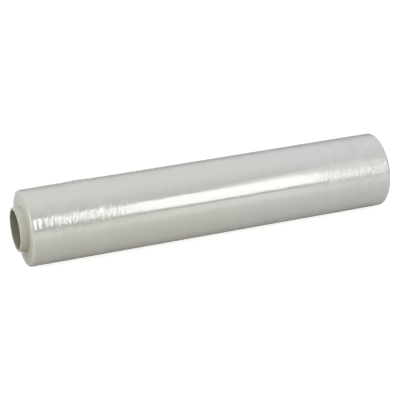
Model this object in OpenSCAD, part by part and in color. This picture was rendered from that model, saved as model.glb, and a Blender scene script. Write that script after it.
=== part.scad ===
// Hand roll of clear stretch film on a spiral-wound board core, lying on its side.
// The roll's axis runs along X. Its centre is over the origin and it rests on z = 0.

/* [Film] */
// Width of the film, which is the length of the wound part
film_w = 500; // [250:5:600]
// Diameter over the outermost turn
film_d = 100; // [84:1:140]
// Radius of the soft shoulder between the outer turn and the end face
shoulder_r = 3.5; // [1:0.5:5]
// Width of the flat that the roll's weight presses along its underside
flat_w = 14; // [10:0.5:24]

/* [Winding] */
// Height of the gauge bands, the ridges round the roll where the film runs thick
band_h = 0.3; // [0:0.05:0.45]
// Distance from one gauge band to the next
band_pitch = 7.5; // [5:0.5:20]
// Distance from the left end over which the bands calm down
band_reach = 230; // [100:10:400]
// Share of the height that the bands keep past that distance
band_calm = 0.15; // [0:0.05:1]
// Depth of the rings on the end faces, where the turns wander sideways
ring_h = 0.35; // [0:0.05:0.6]
// Distance across the end face from one ring to the next
ring_pitch = 2.1; // [1.5:0.1:6]

/* [Core] */
// Outer diameter of the board tube
core_d = 57.5; // [40:0.5:66]
// Thickness of the tube's wound wall
core_wall = 3.25; // [2:0.25:6]
// Length of tube that stands out of the film at each end
core_out = 10; // [5:0.5:30]
// Radius of the worn edges of the cut rims
rim_r = 0.8; // [0.3:0.1:0.9]

/* [Hidden] */
$fn = 180;

// The turns are wound straight on the tube, so the film starts where the board ends.
wound_gap = 0;
bore_r = core_d / 2 + wound_gap;
film_r = film_d / 2;
wound = film_r - bore_r;
core_len = film_w + 2 * core_out;
// Height of the axis over the ground, so that the flat comes out flat_w wide
axis_h = sqrt(pow(film_r, 2) - pow(flat_w / 2, 2));

// Sloping faces that each gauge band and each ring takes, one up and one down
slopes = 2;
// Heights of bands and rings come in whole steps, so that no slope is too faint to cut.
height_step = 0.05;
// A second, slower wave keeps the bands from looking machined.
slow_ratio = 0.38;
slow_share = 0.4;
// Lengths over which bands and rings die out towards their ends
band_fade = band_pitch / 2;
ring_fade = ring_pitch;

shoulder = min(shoulder_r, wound / 3);
bands_from = shoulder;
bands_to = film_w - shoulder;
band_count = round((bands_to - bands_from) / band_pitch);
rings_from = bore_r;
rings_to = film_r - shoulder;
ring_count = max(1, round((rings_to - rings_from) / ring_pitch));

// 0 at either end of a stretch, 1 from `fade` inside it
function fade_in(t, from, to, fade) = max(0, min(1, min(t - from, to - t) / fade));

// The bands stand highest at the left end, where the film has its thick lanes, and calm down from there.
function band_strength(s) = band_calm + (1 - band_calm) * pow(cos(90 * min(1, s / band_reach)), 2);

// A wave between 0 and 1 with its crests one pitch apart
function wave(t, pitch) =
    (1 - slow_share) * (1 - cos(360 * t / pitch)) / 2
    + slow_share * (1 - cos(360 * slow_ratio * t / pitch)) / 2;

function in_steps(h) = height_step * round(h / height_step);

// How far the outer turn lies below the full diameter at a distance s along the film
function band_drop(s) =
    in_steps(band_h * band_strength(s) * fade_in(s, bands_from, bands_to, band_fade)
        * wave(s - bands_from, band_pitch));

// How far the end face is drawn in at a radius r
function ring_drop(r) =
    in_steps(ring_h * fade_in(r, rings_from, rings_to, ring_fade) * wave(r - rings_from, ring_pitch));

// Places a turned profile, drawn as [radius, distance along the roll], on the roll's axis.
module turned(length) {
    translate([-length / 2, 0, axis_h])
        rotate([0, 90, 0])
            rotate_extrude() children();
}

// Outline of the wound film: rings on both end faces, gauge bands along the outer turn
module film_outline() {
    ring_step = (rings_to - rings_from) / (ring_count * slopes);
    band_step = (bands_to - bands_from) / (band_count * slopes);
    near_face = [for (i = [0 : ring_count * slopes])
        let (r = rings_from + i * ring_step) [r, ring_drop(r)]];
    outer_turn = [for (i = [0 : band_count * slopes])
        let (s = bands_from + i * band_step) [film_r - band_drop(s), s]];
    far_face = [for (i = [ring_count * slopes : -1 : 0])
        let (r = rings_from + i * ring_step) [r, film_w - ring_drop(r)]];
    polygon(concat(near_face, [[rings_to, bands_from]], outer_turn, [[rings_to, bands_to]], far_face));
    for (s = [bands_from, bands_to])
        translate([rings_to, s]) circle(r = shoulder);
}

// Section of the tube's wall, with its cut rims worn round
module core_outline() {
    inner_r = core_d / 2 - core_wall;
    translate([inner_r + rim_r, 0]) square([core_wall - 2 * rim_r, core_len]);
    translate([inner_r, rim_r]) square([core_wall, core_len - 2 * rim_r]);
    for (r = [inner_r + rim_r, core_d / 2 - rim_r], s = [rim_r, core_len - rim_r])
        translate([r, s]) circle(r = rim_r);
}

module core_tube() {
    color([0.66, 0.66, 0.6]) turned(core_len) core_outline();
}

module film_roll() {
    color([0.8, 0.81, 0.79]) difference() {
        turned(film_w) film_outline();
        translate([-film_w, -film_r, -film_r]) cube([2 * film_w, film_d, film_r]);
    }
}

core_tube();
film_roll();
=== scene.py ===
"""Stretch wrap roll, dressed: clear film wound on a board tube, lying on a plain pale studio floor."""

import logging
import math
from dataclasses import dataclass
from enum import Enum
from typing import Any

import bmesh
import bpy
from mathutils import Matrix, Vector, noise


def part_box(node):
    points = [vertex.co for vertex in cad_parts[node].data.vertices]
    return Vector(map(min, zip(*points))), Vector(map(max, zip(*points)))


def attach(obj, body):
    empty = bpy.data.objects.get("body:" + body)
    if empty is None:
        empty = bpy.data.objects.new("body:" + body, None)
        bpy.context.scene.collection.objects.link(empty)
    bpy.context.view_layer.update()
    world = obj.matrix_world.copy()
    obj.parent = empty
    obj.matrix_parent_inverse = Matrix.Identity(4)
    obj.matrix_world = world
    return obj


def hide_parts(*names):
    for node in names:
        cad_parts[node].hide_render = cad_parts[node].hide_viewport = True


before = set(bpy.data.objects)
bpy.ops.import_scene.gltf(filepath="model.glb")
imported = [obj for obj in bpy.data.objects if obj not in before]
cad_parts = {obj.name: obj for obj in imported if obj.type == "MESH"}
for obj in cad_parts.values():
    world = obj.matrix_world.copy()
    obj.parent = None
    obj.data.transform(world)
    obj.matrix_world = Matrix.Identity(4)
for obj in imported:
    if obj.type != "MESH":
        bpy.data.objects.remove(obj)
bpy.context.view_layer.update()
LOG = logging.getLogger("stretch_wrap_roll")
MM = 0.001
# Two points of a mesh that are closer than this are one point.
SAME_POINT = 0.01 * MM
# A noise texture's values lie round one half: nearly all of them, most of them, and the middle ones.
NOISE_ALL = (0.2, 0.8)
NOISE_MOST = (0.25, 0.75)
NOISE_MIDDLE = (0.3, 0.7)

Pair = tuple[float, float]
Triple = tuple[float, float, float]


class Corner(Enum):
    """How a corner of a section is made."""

    SHARP = "sharp"
    ROUND = "round"


@dataclass(frozen=True)
class RollSizes:
    """The roll's sizes in metres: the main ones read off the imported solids, the small ones made to match."""

    axis_z: float
    film_r: float
    film_half: float
    core_r: float
    core_half: float
    core_wall: float = 3.25 * MM
    shoulder: float = 3.5 * MM
    rim_r: float = 0.8 * MM

    @classmethod
    def from_frame(cls) -> "RollSizes":
        """Reads the main sizes off the boxes of the two nodes.

        Returns:
            The sizes of this roll.
        """
        core_low, core_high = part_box("core_tube")
        film_low, film_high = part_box("film_roll")
        axis_z = (core_low[2] + core_high[2]) / 2
        return cls(
            axis_z=axis_z,
            film_r=film_high[2] - axis_z,
            film_half=(film_high[0] - film_low[0]) / 2,
            core_r=core_high[2] - axis_z,
            core_half=(core_high[0] - core_low[0]) / 2,
        )


def fade_in(place: float, start: float, stop: float, length: float) -> float:
    """0 at either end of the stretch from start to stop, and 1 from `length` inside it."""
    return max(0.0, min(1.0, min(place - start, stop - place) / length))


@dataclass(frozen=True)
class Winding:
    """How the film lies on the roll: gauge bands round it, and rings on its ends where the turns wander."""

    band_h: float = 0.25 * MM
    band_pitch: float = 7.5 * MM
    band_reach: float = 34.0 * MM
    band_calm: float = 0.08
    ring_h: float = 0.35 * MM
    ring_pitch: float = 2.1 * MM
    slow_ratio: float = 0.38
    slow_share: float = 0.4

    def wave(self, place: float, pitch: float) -> float:
        """A wave between 0 and 1 that starts at 0 and has its crests about a pitch apart.

        Args:
            place: Distance from the wave's start.
            pitch: Distance between crests.

        Returns:
            The wave's height at that place.
        """
        quick = (1 - math.cos(math.tau * place / pitch)) / 2
        slow = (1 - math.cos(math.tau * self.slow_ratio * place / pitch)) / 2
        return (1 - self.slow_share) * quick + self.slow_share * slow

    def strength(self, from_left: float) -> float:
        """Share of their full height that the bands have: 1 at the left end, band_calm past band_reach."""
        angle = math.pi / 2 * min(1.0, from_left / self.band_reach)
        return self.band_calm + (1 - self.band_calm) * math.cos(angle) ** 2


@dataclass(frozen=True)
class Strokes:
    """One family of the fine wrinkles that the last turns keep, all leaning one way."""

    height: float
    # About how long a wrinkle is along the roll and round it
    along: float
    around: float
    # How far a wrinkle moves along the roll for each metre round it
    lean: float
    seed: float

    def lift(self, along: float, arc: float) -> float:
        """How far the wrinkles lift the outer turn, where they are at full strength."""
        spot = Vector(((along - self.lean * arc) / self.along, arc / self.around, self.seed))
        return self.height * noise.noise(spot)


@dataclass(frozen=True)
class Puckers:
    """All the small wrinkles of the outer turn: liveliest near the left end, and a few at the right end."""

    families: tuple[Strokes, ...] = (
        Strokes(height=0.18 * MM, along=1.5 * MM, around=6.5 * MM, lean=0.6, seed=3.7),
        Strokes(height=0.10 * MM, along=2.6 * MM, around=8.0 * MM, lean=-0.35, seed=11.2),
        Strokes(height=0.10 * MM, along=11.0 * MM, around=40.0 * MM, lean=0.1, seed=19.6),
    )
    # The last turns have eased over the top, and the wrinkles stand higher there by this share.
    top_gain: float = 1.0
    top_from_deg: float = 33.0
    top_over_deg: float = 9.0
    # Distances from the film's left end, each with the share of their height that the wrinkles have there
    course: tuple[Pair, ...] = (
        (0.0, 0.25), (20.0 * MM, 0.4), (38.0 * MM, 1.1), (92.0 * MM, 1.0), (130.0 * MM, 0.6),
        (170.0 * MM, 0.35), (230.0 * MM, 0.25), (360.0 * MM, 0.2), (420.0 * MM, 0.7), (500.0 * MM, 0.7),
    )

    def strength(self, from_left: float) -> float:
        """Share of their full height that the wrinkles have.

        Args:
            from_left: Distance from the film's left end.

        Returns:
            The share at that distance, between the two nearest places of the course.
        """
        for (start, low), (stop, high) in zip(self.course, self.course[1:]):
            if from_left <= stop:
                return low + (high - low) * max(0.0, from_left - start) / (stop - start)
        return self.course[-1][1]

    def rise(self, angle: float) -> float:
        """Times their height that the wrinkles have at an angle from the front: 1, and more over the top."""
        share = fade_in(math.degrees(angle), self.top_from_deg, 180.0 - self.top_from_deg, self.top_over_deg)
        return 1 + self.top_gain * share

    def lift(self, along: float, angle: float, radius: float, from_left: float) -> float:
        """How far the outer turn stands above or below its place, at an angle from the front in radians."""
        waves = sum(family.lift(along, angle * radius) for family in self.families)
        return self.strength(from_left) * self.rise(angle) * waves


@dataclass(frozen=True)
class Buckle:
    """One soft buckle across the top of the roll near its left end, where the last turns have eased."""

    along: float = -170.0 * MM
    half_length: float = 16.0 * MM
    angle_deg: float = 108.0
    half_angle_deg: float = 24.0
    height: float = 0.7 * MM

    def lift(self, along: float, angle: float) -> float:
        """How far the buckle stands up at a place.

        Args:
            along: Distance along the roll from its middle.
            angle: Angle round the roll from the front, in radians.

        Returns:
            The lift in metres.
        """
        far = ((along - self.along) / self.half_length) ** 2
        far += (math.degrees(angle) - self.angle_deg) ** 2 / self.half_angle_deg ** 2
        return self.height * math.exp(-far)


class Graph:
    """Adds nodes to one node tree and links them."""

    def __init__(self, tree: bpy.types.NodeTree) -> None:
        """Starts on the node tree of a material, a group, a lamp or the world."""
        self.tree = tree

    @classmethod
    def cleared(cls, holder: Any) -> "Graph":
        """Turns on the nodes of something that has its own tree, and takes out those it comes with.

        Args:
            holder: The material, the lamp's data or the world.

        Returns:
            A graph on the empty tree.
        """
        holder.use_nodes = True
        holder.node_tree.nodes.clear()
        return cls(holder.node_tree)

    def fill(self, node: bpy.types.Node, values: dict[Any, Any]) -> bpy.types.Node:
        """Sets or links a node's inputs.

        Args:
            node: The node.
            values: What goes into each input, by name or number: a constant, or an output to link.

        Returns:
            The same node.
        """
        for name, value in values.items():
            if isinstance(value, bpy.types.NodeSocket):
                self.tree.links.new(value, node.inputs[name])
            else:
                node.inputs[name].default_value = value
        return node

    def add(self, kind: str, values: dict[Any, Any] | None = None, **settings: Any) -> bpy.types.Node:
        """Adds one node.

        Args:
            kind: The node's Blender type.
            values: What goes into its inputs, as fill takes it.
            **settings: Properties of the node.

        Returns:
            The new node.
        """
        node = self.tree.nodes.new(kind)
        for name, value in settings.items():
            setattr(node, name, value)
        return self.fill(node, values or {})

    def group(self, tree: bpy.types.NodeTree, values: dict[str, Any] | None = None) -> bpy.types.Node:
        """Places a node group, with values in its inputs as fill takes them."""
        return self.add("ShaderNodeGroup", values, node_tree=tree)

    def axes(self, vector: bpy.types.NodeSocket) -> Any:
        """Splits a vector into its distances along X, Y and Z."""
        return self.add("ShaderNodeSeparateXYZ", {0: vector}).outputs

    def math(self, operation: str, *terms: Any) -> bpy.types.NodeSocket:
        """Adds a Math node, whose terms are constants or outputs."""
        return self.add("ShaderNodeMath", dict(enumerate(terms)), operation=operation).outputs[0]

    def product(self, first: Any, *others: Any) -> bpy.types.NodeSocket:
        """Multiplies values in their order.

        Args:
            first: A constant or an output.
            *others: What it is multiplied by, one after the other.

        Returns:
            The product.
        """
        for other in others:
            first = self.math("MULTIPLY", first, other)
        return first

    def mix(self, factor: Any, first: Any, second: Any) -> bpy.types.NodeSocket:
        """Mixes two colours.

        Args:
            factor: 0 for the first colour, 1 for the second.
            first: A colour or an output.
            second: A colour or an output.

        Returns:
            The mixed colour.
        """
        ends = {6: first, 7: second}
        ends = {number: (*end, 1.0) if isinstance(end, tuple) else end for number, end in ends.items()}
        return self.add("ShaderNodeMix", {0: factor, **ends}, data_type="RGBA").outputs[2]

    def ramp(
        self, value: Any, low: Any, high: Any, to_low: Any = 0.0, to_high: Any = 1.0
    ) -> bpy.types.NodeSocket:
        """Maps low to to_low and high to to_high, smoothly in between, and holds the value past them."""
        values = {0: value, 1: low, 2: high, 3: to_low, 4: to_high}
        return self.add("ShaderNodeMapRange", values, interpolation_type="SMOOTHSTEP").outputs[0]

    def scaled(self, colour: Any, factor: Any) -> bpy.types.NodeSocket:
        """Makes a colour lighter or darker by a factor."""
        return self.add("ShaderNodeVectorMath", {0: colour, "Scale": factor}, operation="SCALE").outputs[0]


class Effects:
    """The shader groups that more than one finish uses."""

    # How many waves to the metre fine lines drift in, and how far they drift
    drift_waves: float = 14.0
    drift_reach: float = 1.2 * MM

    def __init__(self, sizes: RollSizes) -> None:
        """Builds the groups.

        Args:
            sizes: The roll's sizes.
        """
        self.sizes = sizes
        self.place = self._place()
        self.lines = self._lines()
        self.mottle = self._mottle()

    @staticmethod
    def _start(name: str, inputs: dict[str, str], outputs: dict[str, str]) -> tuple[Graph, Any, Any]:
        """Starts a group.

        Args:
            name: The group's name.
            inputs: Each input's name and kind of socket.
            outputs: Each output's name and kind of socket.

        Returns:
            The group's graph, its input node and its output node.
        """
        tree = bpy.data.node_groups.new(name, "ShaderNodeTree")
        for way, sockets in (("INPUT", inputs), ("OUTPUT", outputs)):
            for label, kind in sockets.items():
                tree.interface.new_socket(name=label, in_out=way, socket_type="NodeSocket" + kind)
        graph = Graph(tree)
        return graph, graph.add("NodeGroupInput"), graph.add("NodeGroupOutput")

    def _place(self) -> bpy.types.NodeTree:
        """Builds the group that says where a point lies on the roll.

        Returns:
            A group that puts out the distance along the axis, the radius, the share of a turn, the distance
            round the outer turn from the top, and the place as seen from the axis.
        """
        outputs = {"Along": "Float", "Radius": "Float", "Turn": "Float", "Arc": "Float", "Centred": "Vector"}
        graph, _, out = self._start("roll_place", {}, outputs)
        where = graph.add("ShaderNodeTexCoord").outputs["Object"]
        down = (0.0, 0.0, -self.sizes.axis_z)
        centred = graph.add("ShaderNodeMapping", {"Vector": where, "Location": down}).outputs[0]
        along, back, up = graph.axes(centred)
        across = graph.add("ShaderNodeCombineXYZ", {"Y": back, "Z": up}).outputs[0]
        radius = graph.add("ShaderNodeVectorMath", {0: across}, operation="LENGTH").outputs["Value"]
        turn = graph.math("DIVIDE", graph.math("ARCTAN2", up, back), math.tau)
        arc = graph.product(graph.math("ARCTAN2", back, up), self.sizes.film_r)
        graph.fill(out, {"Along": along, "Radius": radius, "Turn": turn, "Arc": arc, "Centred": centred})
        return graph.tree

    def _lines(self) -> bpy.types.NodeTree:
        """Builds the group for fine uneven lines across one distance, such as turns, plies and ridges.

        Returns:
            A group that puts out a value round one half.
        """
        inputs = {"Place": "Float", "Wander": "Vector", "Per metre": "Float"}
        graph, given, out = self._start("fine_lines", inputs, {"Value": "Float"})
        wander = {"Vector": given.outputs["Wander"], "Scale": self.drift_waves, "Detail": 1.0}
        drift = graph.add("ShaderNodeTexNoise", wander).outputs[0]
        bent = graph.math("MULTIPLY_ADD", drift, self.drift_reach, given.outputs["Place"])
        spot = graph.product(bent, given.outputs["Per metre"])
        across = {"W": spot, "Scale": 1.0, "Detail": 3.0}
        grain = graph.add("ShaderNodeTexNoise", across, noise_dimensions="1D")
        graph.fill(out, {"Value": grain.outputs[0]})
        return graph.tree

    def _mottle(self) -> bpy.types.NodeTree:
        """Builds the group for soft blotches.

        Returns:
            A group that puts out a mask between 0 and 1.
        """
        inputs = {"Vector": "Vector", "Scale": "Float", "From": "Float", "To": "Float"}
        graph, given, out = self._start("mottle", inputs, {"Mask": "Float"})
        cloudy = {"Vector": given.outputs["Vector"], "Scale": given.outputs["Scale"], "Detail": 4.0}
        cloud = graph.add("ShaderNodeTexNoise", cloudy).outputs[0]
        graph.fill(out, {"Mask": graph.ramp(cloud, given.outputs["From"], given.outputs["To"])})
        return graph.tree


class Surface:
    """A finish while it is made: its material, its shader, and values over the roll that feed the shader."""

    def __init__(self, name: str, effects: Effects) -> None:
        """Makes the material with a Principled shader.

        Args:
            name: The material's name.
            effects: The shared shader groups.
        """
        self.effects = effects
        self.sizes = effects.sizes
        self.material = bpy.data.materials.new(name)
        self.graph = Graph.cleared(self.material)
        self.shader = self.graph.add("ShaderNodeBsdfPrincipled")
        self.graph.add("ShaderNodeOutputMaterial", {"Surface": self.shader.outputs[0]})
        self.spot = self.graph.group(effects.place).outputs
        self.from_middle = self.graph.math("ABSOLUTE", self.spot["Along"])

    def lines(self, place: Any, per_metre: float) -> bpy.types.NodeSocket:
        """Fine uneven lines across one distance."""
        values = {"Place": place, "Wander": self.spot["Centred"], "Per metre": per_metre}
        return self.graph.group(self.effects.lines, values).outputs[0]

    def blotches(self, per_metre: float, edge: Pair) -> bpy.types.NodeSocket:
        """Soft blotches, whose edges lie between two values of the noise."""
        values = {"Vector": self.spot["Centred"], "Scale": per_metre, "From": edge[0], "To": edge[1]}
        return self.graph.group(self.effects.mottle, values).outputs[0]

    def lengthwise(self, places: Pair, low: float = 0.0, high: float = 1.0) -> bpy.types.NodeSocket:
        """Goes from low to high between two places, from -1 at the film's left end to 1 at its right."""
        start, stop = (place * self.sizes.film_half for place in places)
        return self.graph.ramp(self.spot["Along"], start, stop, low, high)

    def near_end(self, along: Any, half: float, unit: float, counts: Pair) -> bpy.types.NodeSocket:
        """Goes from 0 to 1 between two distances before an end, each so many times the unit."""
        return self.graph.ramp(along, half - counts[0] * unit, half - counts[1] * unit)


@dataclass(frozen=True)
class FilmFinish:
    """Clear film wound hundreds of turns deep: milky and glossy, and duller and greener on its ends."""

    left: Triple = (0.532, 0.536, 0.502)
    right: Triple = (0.535, 0.538, 0.538)
    end_outer: Triple = (0.665, 0.668, 0.607)
    # The ends' inner colour, near the core, is greener and darker: partly their own tone, partly painted shade
    # round the core's stub.
    end_inner_shaded: Triple = (0.55, 0.54, 0.45)
    # Roughness of the plain film, of its wrinkled left part, of worn patches and ends, and what ridges add
    gloss: float = 0.095
    wrinkled: float = 0.085
    dull: float = 0.15
    end_dull: float = 0.42
    ridge_dull: float = 0.05
    # Fine ridges and broad lanes round the roll, and the rings that the turns' edges make on its ends
    ridges_per_metre: float = 700.0
    lanes_per_metre: float = 80.0
    rings_per_metre: float = 1500.0
    # How dark and how light each of them makes the film, and how deep the ridges and lanes are
    ridge_tint: Pair = (0.975, 1.025)
    lane_tint: Pair = (0.99, 1.01)
    ring_tint: Pair = (0.95, 1.05)
    ridge_depth: float = 0.25
    lane_depth: float = 0.25
    # Worn patches near the right end, and a line of painted shade along the right shoulder
    patches_per_metre: float = 42.0
    patch_edge: Pair = (0.42, 0.66)
    worn_tint: float = 0.965
    right_edge_shade: float = 0.62
    # Fine strokes in the relief, at the left end and at the right
    stroke_width: float = 1.8 * MM
    stroke_length: float = 9.0 * MM
    stroke_lean: float = 0.6
    stroke_depth: float = 2.5
    crease_edge: Pair = (0.52, 0.74)
    crease_depth: float = 1.1
    first_strokes: float = 0.2
    right_strokes: float = 1.2
    relief: float = 0.09 * MM
    # Places along the film between which each thing changes, from -1 at its left end to 1 at its right
    tone_change: Pair = (-0.4, 0.7)
    worn_start: Pair = (0.4, 0.75)
    wrinkled_stop: Pair = (-0.8, -0.2)
    strokes_start: Pair = (-0.95, -0.85)
    strokes_stop: Pair = (-0.6, -0.2)
    right_strokes_start: Pair = (0.4, 0.75)
    # Distances before the ends between which each thing sets in, and how deep under the outer turn the painted
    # shade line at the right edge starts, all in shoulder radii
    end_dull_start: Pair = (0.9, 0.1)
    end_tone_start: Pair = (0.6, 0.0)
    right_edge_start: Pair = (0.8, 0.3)
    right_edge_depth: float = 1.4
    # Heights over the axis, in film radii, between which the ends turn to their outer colour, so that their
    # tops are left without the painted shade near the core
    end_unshaded_top: Pair = (0.25, 0.6)

    def _tone(self, surface: Surface, ridges: Any, lanes: Any, rings: Any, worn: Any) -> bpy.types.NodeSocket:
        """Colours the film.

        Args:
            surface: The finish as it is made.
            ridges: The fine ridges round the roll.
            lanes: The broad lanes round the roll.
            rings: The rings on the ends.
            worn: How worn the film is.

        Returns:
            The colour.
        """
        graph, spot, sizes = surface.graph, surface.spot, surface.sizes
        side = graph.mix(surface.lengthwise(self.tone_change), self.left, self.right)
        side = graph.scaled(side, graph.ramp(lanes, *NOISE_MIDDLE, *self.lane_tint))
        side = graph.scaled(side, graph.ramp(ridges, *NOISE_MOST, *self.ridge_tint))
        side = graph.scaled(side, graph.ramp(worn, 0.0, 1.0, 1.0, self.worn_tint))
        # The ends are darker near the core, painted shade round the stub, except over their tops.
        outward = graph.ramp(spot["Radius"], sizes.core_r, sizes.film_r - sizes.shoulder)
        start_z, stop_z = (share * sizes.film_r for share in self.end_unshaded_top)
        unshaded_top = graph.ramp(graph.axes(spot["Centred"])[2], start_z, stop_z)
        end = graph.mix(graph.math("MAXIMUM", outward, unshaded_top), self.end_inner_shaded, self.end_outer)
        end = graph.scaled(end, graph.ramp(rings, *NOISE_MOST, *self.ring_tint))
        half, shoulder = sizes.film_half, sizes.shoulder
        past_shoulder = surface.near_end(surface.from_middle, half, shoulder, self.end_tone_start)
        # Painted shade: a darker line along the right shoulder's edge.
        edge_r = sizes.film_r - self.right_edge_depth * shoulder
        right_edge = graph.product(
            surface.near_end(spot["Along"], half, shoulder, self.right_edge_start),
            graph.ramp(spot["Radius"], edge_r, sizes.film_r - shoulder),
        )
        shade = graph.ramp(right_edge, 0.0, 1.0, 1.0, self.right_edge_shade)
        return graph.scaled(graph.mix(past_shoulder, side, end), shade)

    def _roughness(self, surface: Surface, ridges: Any, worn: Any, on_end: Any) -> bpy.types.NodeSocket:
        """Makes the film glossy, and duller where it is worn and on its ends.

        Args:
            surface: The finish as it is made.
            ridges: The fine ridges round the roll.
            worn: How worn the film is.
            on_end: 1 on the ends, 0 round the roll.

        Returns:
            The roughness.
        """
        graph = surface.graph
        smooth = surface.lengthwise(self.wrinkled_stop, self.wrinkled, self.gloss)
        rough = graph.ramp(worn, 0.0, 1.0, smooth, self.dull)
        rough = graph.math("ADD", rough, graph.ramp(ridges, *NOISE_ALL, 0.0, self.ridge_dull))
        return graph.math("MAXIMUM", rough, graph.product(on_end, self.end_dull))

    def _strokes(self, surface: Surface) -> bpy.types.NodeSocket:
        """Draws the fine leaning strokes, lively at the left and at the right end.

        Args:
            surface: The finish as it is made.

        Returns:
            Their height, in shares of the relief.
        """
        graph, spot = surface.graph, surface.spot
        leaning = graph.math("MULTIPLY_ADD", spot["Arc"], -self.stroke_lean, spot["Along"])
        across = graph.math("DIVIDE", leaning, self.stroke_width)
        down = graph.math("DIVIDE", spot["Arc"], self.stroke_length)
        grid = graph.add("ShaderNodeCombineXYZ", {"X": across, "Y": down}).outputs[0]
        waves = graph.add("ShaderNodeTexNoise", {"Vector": grid, "Scale": 1.0, "Detail": 1.0}).outputs[0]
        creases = graph.product(graph.ramp(waves, *self.crease_edge), self.crease_depth)
        strokes = graph.math("MULTIPLY_ADD", waves, self.stroke_depth, creases)
        at_left = surface.lengthwise(self.strokes_stop, 1.0, 0.0)
        at_right = surface.lengthwise(self.right_strokes_start, 0.0, self.right_strokes)
        lively = graph.math("ADD", at_left, at_right)
        lively = graph.product(lively, surface.lengthwise(self.strokes_start, self.first_strokes, 1.0))
        return graph.product(strokes, lively)

    def build(self, effects: Effects) -> bpy.types.Material:
        """Makes the material.

        Args:
            effects: The shared shader groups.

        Returns:
            The material.
        """
        surface = Surface("stretch_film", effects)
        graph, spot, sizes = surface.graph, surface.spot, surface.sizes
        ridges = surface.lines(spot["Along"], self.ridges_per_metre)
        lanes = surface.lines(spot["Along"], self.lanes_per_metre)
        rings = surface.lines(spot["Radius"], self.rings_per_metre)
        patches = surface.blotches(self.patches_per_metre, self.patch_edge)
        worn = graph.product(patches, surface.lengthwise(self.worn_start))
        on_end = surface.near_end(surface.from_middle, sizes.film_half, sizes.shoulder, self.end_dull_start)
        fine, broad = graph.product(ridges, self.ridge_depth), graph.product(lanes, self.lane_depth)
        height = graph.math("ADD", graph.math("ADD", fine, broad), graph.product(rings, on_end))
        height = graph.math("ADD", height, self._strokes(surface))
        bump = graph.add("ShaderNodeBump", {"Strength": 1.0, "Distance": self.relief, "Height": height})
        graph.fill(surface.shader, {
            "Base Color": self._tone(surface, ridges, lanes, rings, worn),
            "Roughness": self._roughness(surface, ridges, worn, on_end),
            "Normal": bump.outputs[0],
            "IOR": 1.9,
            "Specular IOR Level": 0.8,
            "Subsurface Weight": 0.7,
            "Subsurface Radius": (1.0, 1.0, 0.85),
            "Subsurface Scale": 8.0 * MM,
        })
        return surface.material


@dataclass(frozen=True)
class BoardFinish:
    """The core's spiral-wound board: grey-beige, with a winding seam, and plies that show at the rim; darker
    in the bore, partly its own tone and partly painted shade.
    """

    face: Triple = (0.60, 0.605, 0.515)
    rim: Triple = (0.66, 0.66, 0.57)
    # Inside the bore the board is darker: its own tone, and painted shade.
    inside: Triple = (0.30, 0.29, 0.23)
    # Distance along the tube in which the seam winds once round, and half the seam's width as a share of it
    seam_pitch: float = 92.0 * MM
    seam_share: float = 0.006
    plies_per_metre: float = 2600.0
    fibres_per_metre: float = 600.0
    # How dark and how light each of them makes the board
    seam_tint: float = 0.75
    ply_tint: Pair = (0.95, 1.03)
    fibre_tint: Pair = (0.96, 1.03)
    fibre_depth: float = 0.3
    relief: float = 0.2 * MM
    # Shares of the wall, counted from the bore, between which the dark inside turns to the face; the inside is
    # the board's own darker tone with painted shade in the bore
    face_start: Pair = (0.2, 0.6)
    # Distances before the ends between which the rim sets in, in rim radii
    rim_start: Pair = (1.0, 0.1)

    def build(self, effects: Effects) -> bpy.types.Material:
        """Makes the material.

        Args:
            effects: The shared shader groups.

        Returns:
            The material.
        """
        surface = Surface("core_board", effects)
        graph, spot, sizes = surface.graph, surface.spot, surface.sizes
        turns = graph.math("ADD", graph.math("DIVIDE", spot["Along"], self.seam_pitch), spot["Turn"])
        off_seam = graph.math("ABSOLUTE", graph.math("SUBTRACT", graph.math("FRACT", turns), 0.5))
        seam = graph.ramp(off_seam, 0.0, self.seam_share, 1.0, 0.0)
        plies = surface.lines(spot["Radius"], self.plies_per_metre)
        fibres = surface.blotches(self.fibres_per_metre, NOISE_MIDDLE)

        inner_r = sizes.core_r - sizes.core_wall
        start_r, stop_r = (inner_r + share * sizes.core_wall for share in self.face_start)
        wall = graph.mix(graph.ramp(spot["Radius"], start_r, stop_r), self.inside, self.face)
        at_rim = surface.near_end(surface.from_middle, sizes.core_half, sizes.rim_r, self.rim_start)
        tone = graph.mix(at_rim, wall, self.rim)
        tone = graph.scaled(tone, graph.ramp(fibres, 0.0, 1.0, *self.fibre_tint))
        tone = graph.scaled(tone, graph.ramp(plies, *NOISE_MIDDLE, *self.ply_tint))
        tone = graph.scaled(tone, graph.ramp(seam, 0.0, 1.0, 1.0, self.seam_tint))

        height = graph.math("SUBTRACT", graph.product(fibres, self.fibre_depth), seam)
        bump = graph.add("ShaderNodeBump", {"Strength": 0.4, "Distance": self.relief, "Height": height})
        graph.fill(surface.shader, {"Base Color": tone, "Roughness": 0.55, "Normal": bump.outputs[0]})
        return surface.material


def section(
    corners: list[tuple[float, float, Corner]], axis_z: float, radius: float, steps: int
) -> bmesh.types.BMesh:
    """Draws a closed section of something turned about the roll's axis.

    Args:
        corners: Each corner as (distance along X, distance from the axis, how it is made), in order.
        axis_z: Height of the axis.
        radius: Radius of the round corners.
        steps: How many stretches each round corner has.

    Returns:
        The section as a loop of edges.
    """
    bm = bmesh.new()
    verts = [bm.verts.new((along, 0.0, axis_z + out)) for along, out, _ in corners]
    for i in range(len(verts)):
        bm.edges.new((verts[i - 1], verts[i]))
    rounded = [vert for vert, corner in zip(verts, corners) if corner[2] is Corner.ROUND]
    bmesh.ops.bevel(
        bm, geom=rounded, offset=radius, segments=steps, profile=0.5, affect="VERTICES", material=-1
    )
    return bm


def divide(bm: bmesh.types.BMesh, edges: list[bmesh.types.BMEdge], step: float) -> None:
    """Divides straight edges into equal stretches.

    Args:
        bm: The section.
        edges: The edges to divide.
        step: Longest stretch.
    """
    for edge in edges:
        cuts = math.ceil(edge.calc_length() / step) - 1
        bmesh.ops.subdivide_edges(bm, edges=[edge], cuts=cuts)


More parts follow.
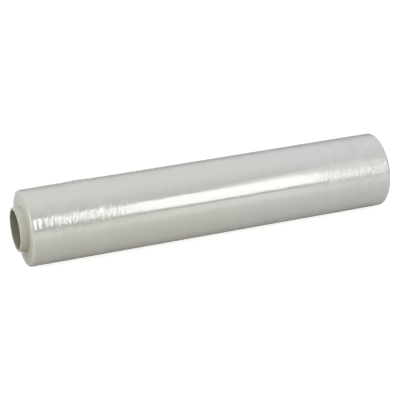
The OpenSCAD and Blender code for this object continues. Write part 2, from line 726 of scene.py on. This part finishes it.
def turn_about_axis(bm: bmesh.types.BMesh, axis_z: float, steps: int) -> None:
    """Turns a section into a closed shape, with its faces outwards.

    Args:
        bm: The section, which becomes the shape.
        axis_z: Height of the axis, which runs along X.
        steps: How many stretches the full turn has.
    """
    bmesh.ops.spin(
        bm,
        geom=bm.verts[:] + bm.edges[:],
        cent=(0.0, 0.0, axis_z),
        axis=(1.0, 0.0, 0.0),
        angle=math.tau,
        steps=steps,
        use_merge=True,
    )
    bmesh.ops.remove_doubles(bm, verts=bm.verts, dist=SAME_POINT)
    bmesh.ops.recalc_face_normals(bm, faces=bm.faces)


def finished(name: str, bm: bmesh.types.BMesh, material: bpy.types.Material) -> bpy.types.Object:
    """Turns a shape into a smooth-shaded object.

    Args:
        name: The piece's name.
        bm: Its shape, which is freed.
        material: Its material.

    Returns:
        The object, in the scene.
    """
    mesh = bpy.data.meshes.new(name)
    for face in bm.faces:
        face.smooth = True
    bm.to_mesh(mesh)
    bm.free()
    mesh.materials.append(material)
    piece = bpy.data.objects.new(name, mesh)
    bpy.context.scene.collection.objects.link(piece)
    return piece


@dataclass
class FilmRoll:
    """The wound film: one closed shape of all its turns, with bands, rings, puckers and soft shoulders."""

    sizes: RollSizes
    winding: Winding = Winding()
    puckers: Puckers = Puckers()
    buckle: Buckle = Buckle()
    # Longest stretches of the section: where the wrinkles are lively, past fine_length, and on the ends
    fine_step: float = 0.75 * MM
    plain_step: float = 1.6 * MM
    ring_step: float = 0.42 * MM
    fine_length: float = 140.0 * MM
    shoulder_steps: int = 7
    around_steps: int = 190
    bore_gap: float = 0.05 * MM
    # How far the turns wander on the ends, over what distance across them, and in about how many waves round
    wander_depth: float = 0.12 * MM
    wander_pitch: float = 3.0 * MM
    wander_waves: float = 1.5

    def _side_lift(self, along: float, angle: float) -> float:
        """How far the outer turn stands above or below the full radius.

        Args:
            along: Distance along the roll from its middle.
            angle: Angle round the roll from the front, in radians.

        Returns:
            The lift in metres.
        """
        sizes, winding = self.sizes, self.winding
        length, from_left = 2 * sizes.film_half, along + sizes.film_half
        bands = winding.band_h * winding.strength(from_left)
        bands *= winding.wave(from_left - sizes.shoulder, winding.band_pitch)
        bands *= fade_in(from_left, sizes.shoulder, length - sizes.shoulder, winding.band_pitch / 2)
        eased = self.puckers.lift(along, angle, sizes.film_r, from_left)
        eased *= fade_in(from_left, 0.0, length, sizes.shoulder)
        return self.buckle.lift(along, angle) + eased - bands

    def _end_drop(self, radius: float, angle: float) -> float:
        """How far the end face is drawn in.

        Args:
            radius: Distance from the roll's axis.
            angle: Angle round the roll from the front, in radians.

        Returns:
            The depth in metres.
        """
        winding, waves = self.winding, self.wander_waves
        start, stop = self.sizes.core_r, self.sizes.film_r - self.sizes.shoulder
        spot = Vector((radius / self.wander_pitch, waves * math.cos(angle), waves * math.sin(angle)))
        wander = self.wander_depth * (1 + noise.noise(spot))
        rings = winding.ring_h * winding.wave(radius - start, winding.ring_pitch)
        return fade_in(radius, start, stop, winding.ring_pitch) * (rings + wander)

    def _wind(self, bm: bmesh.types.BMesh) -> None:
        """Gives the turned shape its bands, rings and puckers, and presses the flat underneath.

        Args:
            bm: The turned film.
        """
        sizes = self.sizes
        ends_r = sizes.film_r - sizes.shoulder
        for vert in bm.verts:
            along, y, z = vert.co.x, vert.co.y, vert.co.z - sizes.axis_z
            radius = math.hypot(y, z)
            angle = math.atan2(z, -y)
            if radius > ends_r + SAME_POINT:
                vert.co += Vector((0.0, y, z)) / radius * self._side_lift(along, angle)
            elif radius > sizes.core_r + 2 * self.bore_gap:
                vert.co.x -= math.copysign(self._end_drop(radius, angle), along)
            vert.co.z = max(vert.co.z, 0.0)

    def build(self, material: bpy.types.Material) -> bpy.types.Object:
        """Makes the piece.

        Args:
            material: The film's finish.

        Returns:
            The film, riding on the row's body.
        """
        sizes = self.sizes
        half, bore = sizes.film_half, sizes.core_r + self.bore_gap
        fine_stop = self.fine_length - half
        corners = [
            (-half, bore, Corner.SHARP),
            (-half, sizes.film_r, Corner.ROUND),
            (fine_stop, sizes.film_r, Corner.SHARP),
            (half, sizes.film_r, Corner.ROUND),
            (half, bore, Corner.SHARP),
        ]
        bm = section(corners, sizes.axis_z, sizes.shoulder, self.shoulder_steps)
        straight = [edge for edge in bm.edges if edge.calc_length() > sizes.shoulder]
        ends = [edge for edge in straight if abs(edge.verts[0].co.x - edge.verts[1].co.x) < MM]
        level = [edge for edge in straight if edge not in ends]
        side = [edge for edge in level if edge.verts[0].co.z > sizes.axis_z + bore + MM]
        fine = [edge for edge in side if max(vert.co.x for vert in edge.verts) < fine_stop + MM]
        plain = [edge for edge in side if edge not in fine]
        for edges, step in ((ends, self.ring_step), (fine, self.fine_step), (plain, self.plain_step)):
            divide(bm, edges, step)
        turn_about_axis(bm, sizes.axis_z, self.around_steps)
        self._wind(bm)
        piece = finished("film_wound", bm, material)
        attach(piece, "root")
        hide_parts("film_roll")
        return piece


@dataclass
class CoreTube:
    """The board tube, with its cut rims worn round."""

    sizes: RollSizes
    around_steps: int = 128
    rim_steps: int = 5
    stretch: float = 8.0 * MM

    def build(self, material: bpy.types.Material) -> bpy.types.Object:
        """Makes the piece.

        Args:
            material: The board's finish.

        Returns:
            The tube, riding on the row's body.
        """
        sizes = self.sizes
        half, outer = sizes.core_half, sizes.core_r
        inner = outer - sizes.core_wall
        places = ((-half, inner), (-half, outer), (half, outer), (half, inner))
        bm = section([(*place, Corner.ROUND) for place in places], sizes.axis_z, sizes.rim_r, self.rim_steps)
        divide(bm, [edge for edge in bm.edges if edge.calc_length() > half], self.stretch)
        turn_about_axis(bm, sizes.axis_z, self.around_steps)
        piece = finished("core_board_tube", bm, material)
        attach(piece, "root")
        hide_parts("core_tube")
        return piece


@dataclass(frozen=True)
class Lamp:
    """One soft area lamp, aimed at a point near the roll."""

    name: str
    stand: Triple
    aim: Triple
    width: float
    height: float
    radiance: float
    colour: Triple = (1.0, 1.0, 1.0)
    # Places from 0 to 1 across the lamp and up it, each with its share of the radiance, or none if it is even
    course: tuple[Pair, ...] = ()
    rise: tuple[Pair, ...] = ()

    def _shade(self, data: bpy.types.AreaLight) -> None:
        """Makes the lamp brighter at some places than at others.

        Args:
            data: The lamp's data.
        """
        graph = Graph.cleared(data)
        across, up, _ = graph.axes(graph.add("ShaderNodeNewGeometry").outputs["Parametric"])
        strength = 1.0
        for way, course in ((across, self.course), (up, self.rise)):
            share = course[0][1] if course else 1.0
            for (start, low), (stop, high) in zip(course, course[1:]):
                share = graph.math("ADD", share, graph.ramp(way, start, stop, 0.0, high - low))
            strength = graph.product(strength, share)
        glow = graph.add("ShaderNodeEmission", {"Strength": strength})
        graph.add("ShaderNodeOutputLight", {"Surface": glow.outputs[0]})

    def build(self) -> bpy.types.Object:
        """Puts the lamp in the scene.

        Returns:
            The lamp.
        """
        data = bpy.data.lights.new(self.name, "AREA")
        data.shape = "RECTANGLE"
        data.size, data.size_y = self.width, self.height
        data.energy = self.radiance * math.pi * self.width * self.height
        data.color = self.colour
        if self.course or self.rise:
            self._shade(data)
        lamp = bpy.data.objects.new(self.name, data)
        way = Vector(self.aim) - Vector(self.stand)
        lamp.matrix_world = Matrix.Translation(self.stand) @ way.to_track_quat("-Z", "Y").to_matrix().to_4x4()
        bpy.context.scene.collection.objects.link(lamp)
        return lamp


@dataclass
class Studio:
    """The floor, the lamps, the room's light and the camera at the photograph's view."""

    sizes: RollSizes
    # Half the floor's side, and how far it lies under the roll's flat
    floor_half: float = 9.0
    floor_drop: float = 0.2 * MM
    floor_colour: Triple = (0.42, 0.4, 0.355)
    floor_white: float = 0.84
    # How bright the roll mirrors the floor: beside it, dimmed there as painted shade, and floor_reach film
    # radii away
    floor_near_shaded: float = 0.54
    floor_far: float = 1.06
    floor_reach: float = 10.0
    # Share of that under the roll, a painted shadow, and the distances, in film radii, between which it ends
    floor_under_shadow: float = 0.1
    under_shadow_stop: Pair = (0.2, 1.0)
    # Share of it behind the roll and its bluish tint there, and the share taken off it there past the roll's
    # right end:
    # painted shade and a painted tint in what the roll mirrors
    floor_behind_shade: float = 0.65
    behind_painted_tint: Triple = (0.97, 0.95, 1.12)
    floor_beyond_shade: float = 0.7
    beyond_start: Pair = (0.95, 1.15)
    # The room's light: the way in which it is brightest, and how closely a direction follows that way, from
    # 0 to 1, where it has the front's level and the back's
    room_way: Triple = (0.0, 0.45, 0.9)
    room_dome: Pair = (0.4, 0.95)
    room_front: float = 0.525
    room_back: float = 1.3
    # Share of it that is left at the horizon, and the height from which it is whole
    room_low: float = 0.4
    room_low_stop: float = 0.5
    # A brighter strip low in front, in parts of a direction: its top, where it stops behind, its dimmer sides
    strip_light: float = 1.75
    strip_top: Pair = (0.13, 0.155)
    strip_back: Pair = (-0.6, 0.2)
    strip_left: Pair = (0.23, 0.29)
    strip_left_share: float = 0.8
    strip_right: Pair = (0.38, 0.44)
    strip_right_share: float = 0.6
    # Where the camera stands from the roll's middle, the way it looks, and its lens
    camera_stand: Triple = (-0.648819, -1.667419, 0.877752)
    look_right_deg: float = 21.0282
    look_down_deg: float = 26.2287
    sensor_mm: float = 36.0
    frame_px: int = 400
    focal_px: float = 1500.0
    lamps: tuple[Lamp, ...] = (
        Lamp(
            "box_left", stand=(0.2924, -1.6756, 1.14), aim=(-0.1976, -0.0806, 0.21),
            width=0.32, height=1.02, radiance=3.35, colour=(1.0, 1.0, 0.97),
            course=((0.3, 1.0), (1.0, 1.08)),
        ),
        Lamp(
            "box_middle", stand=(0.6077, -1.5785, 0.985), aim=(0.1177, 0.0115, 0.055),
            width=0.34, height=0.98, radiance=3.3, colour=(1.0, 1.0, 0.98),
        ),
        Lamp(
            "box_right", stand=(0.8513, -1.4193, 1.114), aim=(0.3613, 0.1707, 0.184),
            width=0.22, height=1.25, radiance=3.3, colour=(1.0, 1.0, 0.965),
            course=((0.0, 1.0), (1.0, 1.25)), rise=((0.55, 1.0), (1.0, 0.15)),
        ),
        Lamp(
            "side_panel", stand=(1.52, -1.35, 1.2), aim=(0.25, 0.0, 0.05),
            width=0.98, height=1.7, radiance=1.6, colour=(1.0, 0.985, 0.88),
            course=((0.0, 0.35), (0.35, 1.0)), rise=((0.4, 1.0), (0.75, 0.8)),
        ),
        Lamp(
            "left_fill", stand=(-2.1, -0.8, 1.1), aim=(0.0, 0.0, 0.05),
            width=1.3, height=1.3, radiance=3.15,
        ),
    )

    def _floor(self) -> None:
        """Lays the pale floor, which looks white but keeps the roll's shadow."""
        bm = bmesh.new()
        bmesh.ops.create_grid(bm, x_segments=2, y_segments=2, size=self.floor_half)
        bmesh.ops.translate(bm, verts=bm.verts, vec=(0.0, 0.0, -self.floor_drop))
        material = bpy.data.materials.new("studio_floor")
        graph = Graph.cleared(material)
        paths = graph.add("ShaderNodeLightPath").outputs
        along, back, _ = graph.axes(graph.add("ShaderNodeTexCoord").outputs["Object"])
        film_r, film_half = self.sizes.film_r, self.sizes.film_half
        shadow_from, shadow_to = (count * film_r for count in self.under_shadow_stop)
        beyond_from, beyond_to = (share * film_half for share in self.beyond_start)
        aside = graph.math("ABSOLUTE", back)
        behind = graph.ramp(back, -film_r, film_r)
        beyond = graph.ramp(along, beyond_from, beyond_to, 0.0, self.floor_beyond_shade)
        in_mirror = graph.math("MAXIMUM", paths["Is Glossy Ray"], paths["Is Transmission Ray"])
        # What the roll mirrors of the floor is dimmed beside, under and behind the roll and past its right
        # end: painted shade.
        mirrored = graph.product(
            graph.ramp(aside, film_r, self.floor_reach * film_r, self.floor_near_shaded, self.floor_far),
            graph.ramp(aside, shadow_from, shadow_to, self.floor_under_shadow, 1.0),
            graph.ramp(behind, 0.0, 1.0, 1.0, self.floor_behind_shade),
            graph.math("SUBTRACT", 1.0, graph.product(behind, beyond)),
            in_mirror,
        )
        seen = graph.math("MULTIPLY_ADD", paths["Is Camera Ray"], self.floor_white, mirrored)
        tint = graph.mix(graph.product(behind, in_mirror), (1.0, 1.0, 1.0), self.behind_painted_tint)
        glow = graph.add("ShaderNodeEmission", {"Color": tint, "Strength": seen})
        matt = graph.add("ShaderNodeBsdfDiffuse", {"Color": (*self.floor_colour, 1.0)})
        both = graph.add("ShaderNodeAddShader", {0: matt.outputs[0], 1: glow.outputs[0]})
        graph.add("ShaderNodeOutputMaterial", {"Surface": both.outputs[0]})
        finished("studio_floor", bm, material)

    def _room(self) -> None:
        """Gives the room its soft grey light, brightest overhead and behind, and white to the camera."""
        world = bpy.data.worlds.new("studio_room")
        graph = Graph.cleared(world)
        way = graph.add("ShaderNodeTexCoord").outputs["Generated"]
        right, back, up = graph.axes(way)
        brightest = {0: way, 1: self.room_way}
        near = graph.add("ShaderNodeVectorMath", brightest, operation="DOT_PRODUCT").outputs["Value"]
        light = graph.product(
            graph.ramp(near, *self.room_dome, self.room_front, self.room_back),
            graph.ramp(up, 0.0, self.room_low_stop, self.room_low, 1.0),
        )
        strip = graph.product(
            graph.ramp(up, *self.strip_top, 1.0, 0.0),
            graph.ramp(back, *self.strip_back, 1.0, 0.0),
            graph.ramp(right, *self.strip_left, self.strip_left_share, 1.0),
            graph.ramp(right, *self.strip_right, 1.0, self.strip_right_share),
        )
        light = graph.math("MULTIPLY_ADD", strip, self.strip_light, light)
        camera_ray = graph.add("ShaderNodeLightPath").outputs["Is Camera Ray"]
        strength = graph.add("ShaderNodeMix", {0: camera_ray, 2: light, 3: 1.0}).outputs[0]
        room = graph.add("ShaderNodeBackground", {"Strength": strength})
        graph.add("ShaderNodeOutputWorld", {"Surface": room.outputs[0]})
        bpy.context.scene.world = world

    def _camera(self) -> None:
        """Stands the camera where the photograph was taken from."""
        data = bpy.data.cameras.new("photo_view")
        data.sensor_width = self.sensor_mm
        data.lens = self.sensor_mm * self.focal_px / self.frame_px
        data.clip_start, data.clip_end = 0.05, 50.0
        camera = bpy.data.objects.new("photo_view", data)
        camera.location = Vector(self.camera_stand) + Vector((0.0, 0.0, self.sizes.axis_z))
        tilt = math.radians(90.0 - self.look_down_deg)
        camera.rotation_euler = (tilt, 0.0, -math.radians(self.look_right_deg))
        bpy.context.scene.collection.objects.link(camera)
        bpy.context.scene.camera = camera

    def build(self) -> None:
        """Sets up the whole studio."""
        self._camera()
        self._floor()
        self._room()
        for lamp in self.lamps:
            lamp.build()
        bpy.context.scene.view_settings.view_transform = "Standard"


def main() -> None:
    """Builds the studio, the finishes and the two pieces."""
    logging.basicConfig(level=logging.INFO, format="%(name)s: %(message)s")
    sizes = RollSizes.from_frame()
    Studio(sizes).build()
    effects = Effects(sizes)
    film = FilmRoll(sizes).build(FilmFinish().build(effects))
    core = CoreTube(sizes).build(BoardFinish().build(effects))
    for piece in (film, core):
        LOG.info("%s: %d faces", piece.name, len(piece.data.polygons))


if __name__ == "__main__":
    main()
